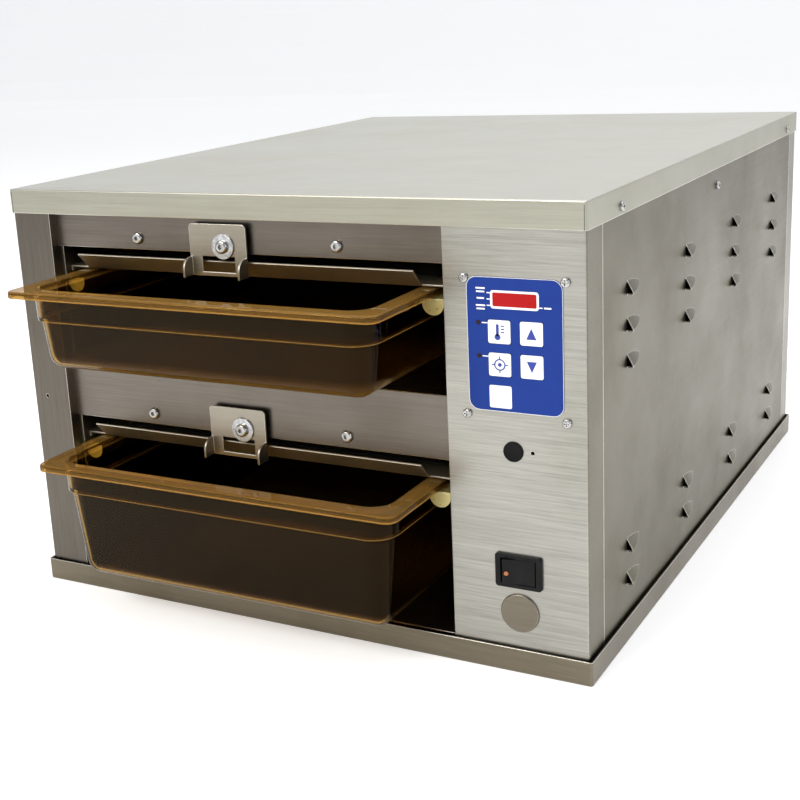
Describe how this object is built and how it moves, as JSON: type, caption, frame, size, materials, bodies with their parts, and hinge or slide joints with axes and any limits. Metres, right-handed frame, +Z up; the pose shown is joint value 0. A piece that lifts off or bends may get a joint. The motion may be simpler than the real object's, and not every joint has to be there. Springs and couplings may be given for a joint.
{
  "type": "food holding cabinet",
  "caption": "Countertop heated holding cabinet with amber food pans that slide on rails under lid plates, beside a keypad control panel.",
  "frame": {"origin": "centre of the base tray's underside", "axes": "+Z up, +Y towards the cabinet's back, +X to the right as seen from the front"},
  "size_m": [0.5019, 0.7075, 0.344],
  "materials": {
    "brushed_stainless": "brushed",
    "yellow_zinc_steel": "satin",
    "bright_steel": "polished",
    "amber_pan_plastic": "gloss",
    "blue_film": "satin",
    "white_film": "satin",
    "red_lens": "gloss",
    "dark_lens": "gloss",
    "amber_lens": "gloss",
    "black_plastic": "satin",
    "green_board": "satin",
    "heater_rubber": "matte",
    "mineral_wool": "matte",
    "core_steel": "satin"
  },
  "bodies": {
    "cabinet": {"back_panel": "brushed_stainless", "base_tray": "brushed_stainless", "bay_left_wall": "brushed_stainless", "bay_rear_wall": "brushed_stainless", "bay_right_wall": "brushed_stainless", "board_standoffs": "bright_steel", "bottom_deck": "brushed_stainless", "bottom_deck_heater": "heater_rubber", "case_screws": "bright_steel", "ceiling_channel": "brushed_stainless", "control_board": "green_board", "control_panel": "brushed_stainless", "cord_gland": "black_plastic", "display_module": "black_plastic", "display_window": "red_lens", "fascia_screws": "bright_steel", "heat_relays": "black_plastic", "indicator_lights": "dark_lens", "key_switches": "black_plastic", "keypad_overlay": "blue_film", "left_insulation": "mineral_wool", "left_side_panel": "brushed_stainless", "limit_thermostats": "bright_steel", "lower_left_rail": "yellow_zinc_steel", "lower_lid": "brushed_stainless", "lower_lid_heater": "heater_rubber", "lower_retainer": "brushed_stainless", "lower_right_rail": "yellow_zinc_steel", "middle_deck": "brushed_stainless", "middle_deck_heater": "heater_rubber", "middle_fascia": "brushed_stainless", "middle_insulation": "mineral_wool", "overlay_screws": "bright_steel", "port_plug": "black_plastic", "rear_insulation": "mineral_wool", "retainer_screws": "bright_steel", "retainer_spacers": "bright_steel", "retainer_washers": "bright_steel", "right_side_panel": "brushed_stainless", "steel_hole_plug": "brushed_stainless", "switch_housing": "black_plastic", "temperature_probes": "bright_steel", "terminal_block": "black_plastic", "top_cover": "brushed_stainless", "top_insulation": "mineral_wool", "transformer": "core_steel", "upper_fascia": "brushed_stainless", "upper_left_rail": "yellow_zinc_steel", "upper_lid": "brushed_stainless", "upper_lid_heater": "heater_rubber", "upper_retainer": "brushed_stainless", "upper_right_rail": "yellow_zinc_steel"},
    "upper_pan": {"upper_pan": "amber_pan_plastic"},
    "lower_pan": {"lower_pan": "amber_pan_plastic"},
    "power_rocker": {"power_rocker": "black_plastic", "rocker_lamp": "amber_lens"},
    "actual_key": {"actual_key": "white_film"},
    "setpoint_key": {"setpoint_key": "white_film"},
    "up_key": {"up_key": "white_film"},
    "down_key": {"down_key": "white_film"}
  },
  "joints": [
    {"name": "upper_pan_slide", "type": "slide", "parent": "cabinet", "child": "upper_pan", "axis": [0, -1, 0], "range_m": [-0.072, 0.4]},
    {"name": "lower_pan_slide", "type": "slide", "parent": "cabinet", "child": "lower_pan", "axis": [0, -1, 0], "range_m": [-0.0595, 0.4125]},
    {"name": "power_rocker_hinge", "type": "hinge", "parent": "cabinet", "child": "power_rocker", "pos_m": [0.1949, -0.3124, 0.07825], "axis": [0, 0, 1], "range_deg": [-16, 0]},
    {"name": "actual_key_press", "type": "slide", "parent": "cabinet", "child": "actual_key", "axis": [0, 1, 0], "range_m": [0, 0.0005], "stiffness_N_per_m": 800},
    {"name": "setpoint_key_press", "type": "slide", "parent": "cabinet", "child": "setpoint_key", "axis": [0, 1, 0], "range_m": [0, 0.0005], "stiffness_N_per_m": 800},
    {"name": "up_key_press", "type": "slide", "parent": "cabinet", "child": "up_key", "axis": [0, 1, 0], "range_m": [0, 0.0005], "stiffness_N_per_m": 800},
    {"name": "down_key_press", "type": "slide", "parent": "cabinet", "child": "down_key", "axis": [0, 1, 0], "range_m": [0, 0.0005], "stiffness_N_per_m": 800}
  ]
}
